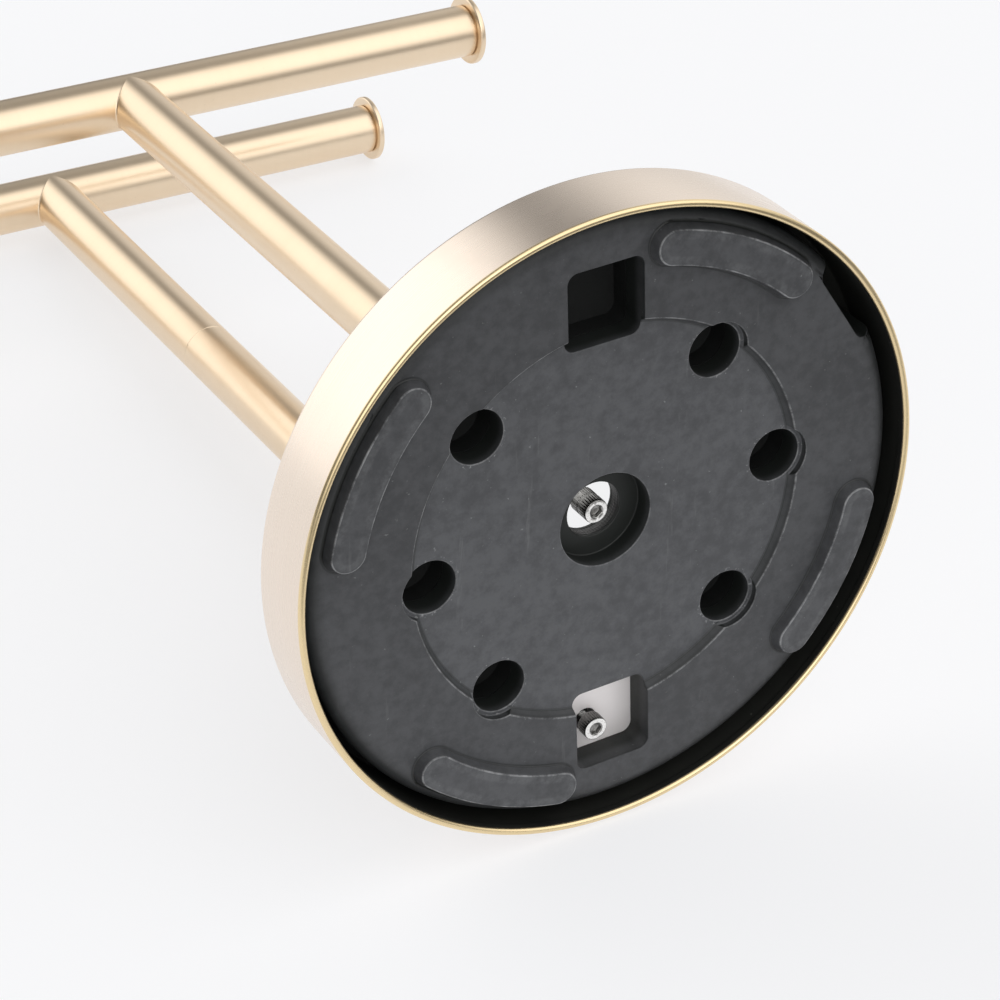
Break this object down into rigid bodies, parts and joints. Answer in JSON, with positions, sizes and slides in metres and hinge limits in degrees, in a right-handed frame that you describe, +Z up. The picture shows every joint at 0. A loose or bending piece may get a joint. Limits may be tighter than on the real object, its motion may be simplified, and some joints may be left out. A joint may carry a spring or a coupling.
{
  "type": "countertop towel stand",
  "caption": "Free-standing countertop towel stand: a weighted round base carries a short and a tall post, each with a flanged cross bar.",
  "frame": {"origin": "centre of the round base at its underside, where the lip rests", "axes": "+Z up along the posts, X along both cross bars, -Y from the short post towards the tall post"},
  "size_m": [0.255, 0.184, 0.3937],
  "materials": {
    "satin_gold": "champagne gold coated steel, finely brushed",
    "black_moulding": "matte moulded, dusty, with light scuffs",
    "core_iron": "as cast, black",
    "plate_steel": "bright zinc plated",
    "screw_steel": "nickel plated, knurled head"
  },
  "bodies": {
    "root": {"base_shell": "satin_gold", "weight_cover": "black_moulding", "weight_core": "core_iron", "mounting_plate": "plate_steel", "post_screw_a": "screw_steel", "post_screw_b": "screw_steel", "foot_plug_a": "plate_steel", "foot_plug_b": "plate_steel", "post_a": "satin_gold", "post_b_lower": "satin_gold", "post_b_upper": "satin_gold", "joiner_stud": "screw_steel", "joiner_bush_lower": "plate_steel", "joiner_bush_upper": "plate_steel", "bar_a": "satin_gold", "bar_b": "satin_gold", "end_cap_a_left": "satin_gold", "end_cap_a_right": "satin_gold", "end_cap_b_left": "satin_gold", "end_cap_b_right": "satin_gold"}
  },
  "joints": []
}
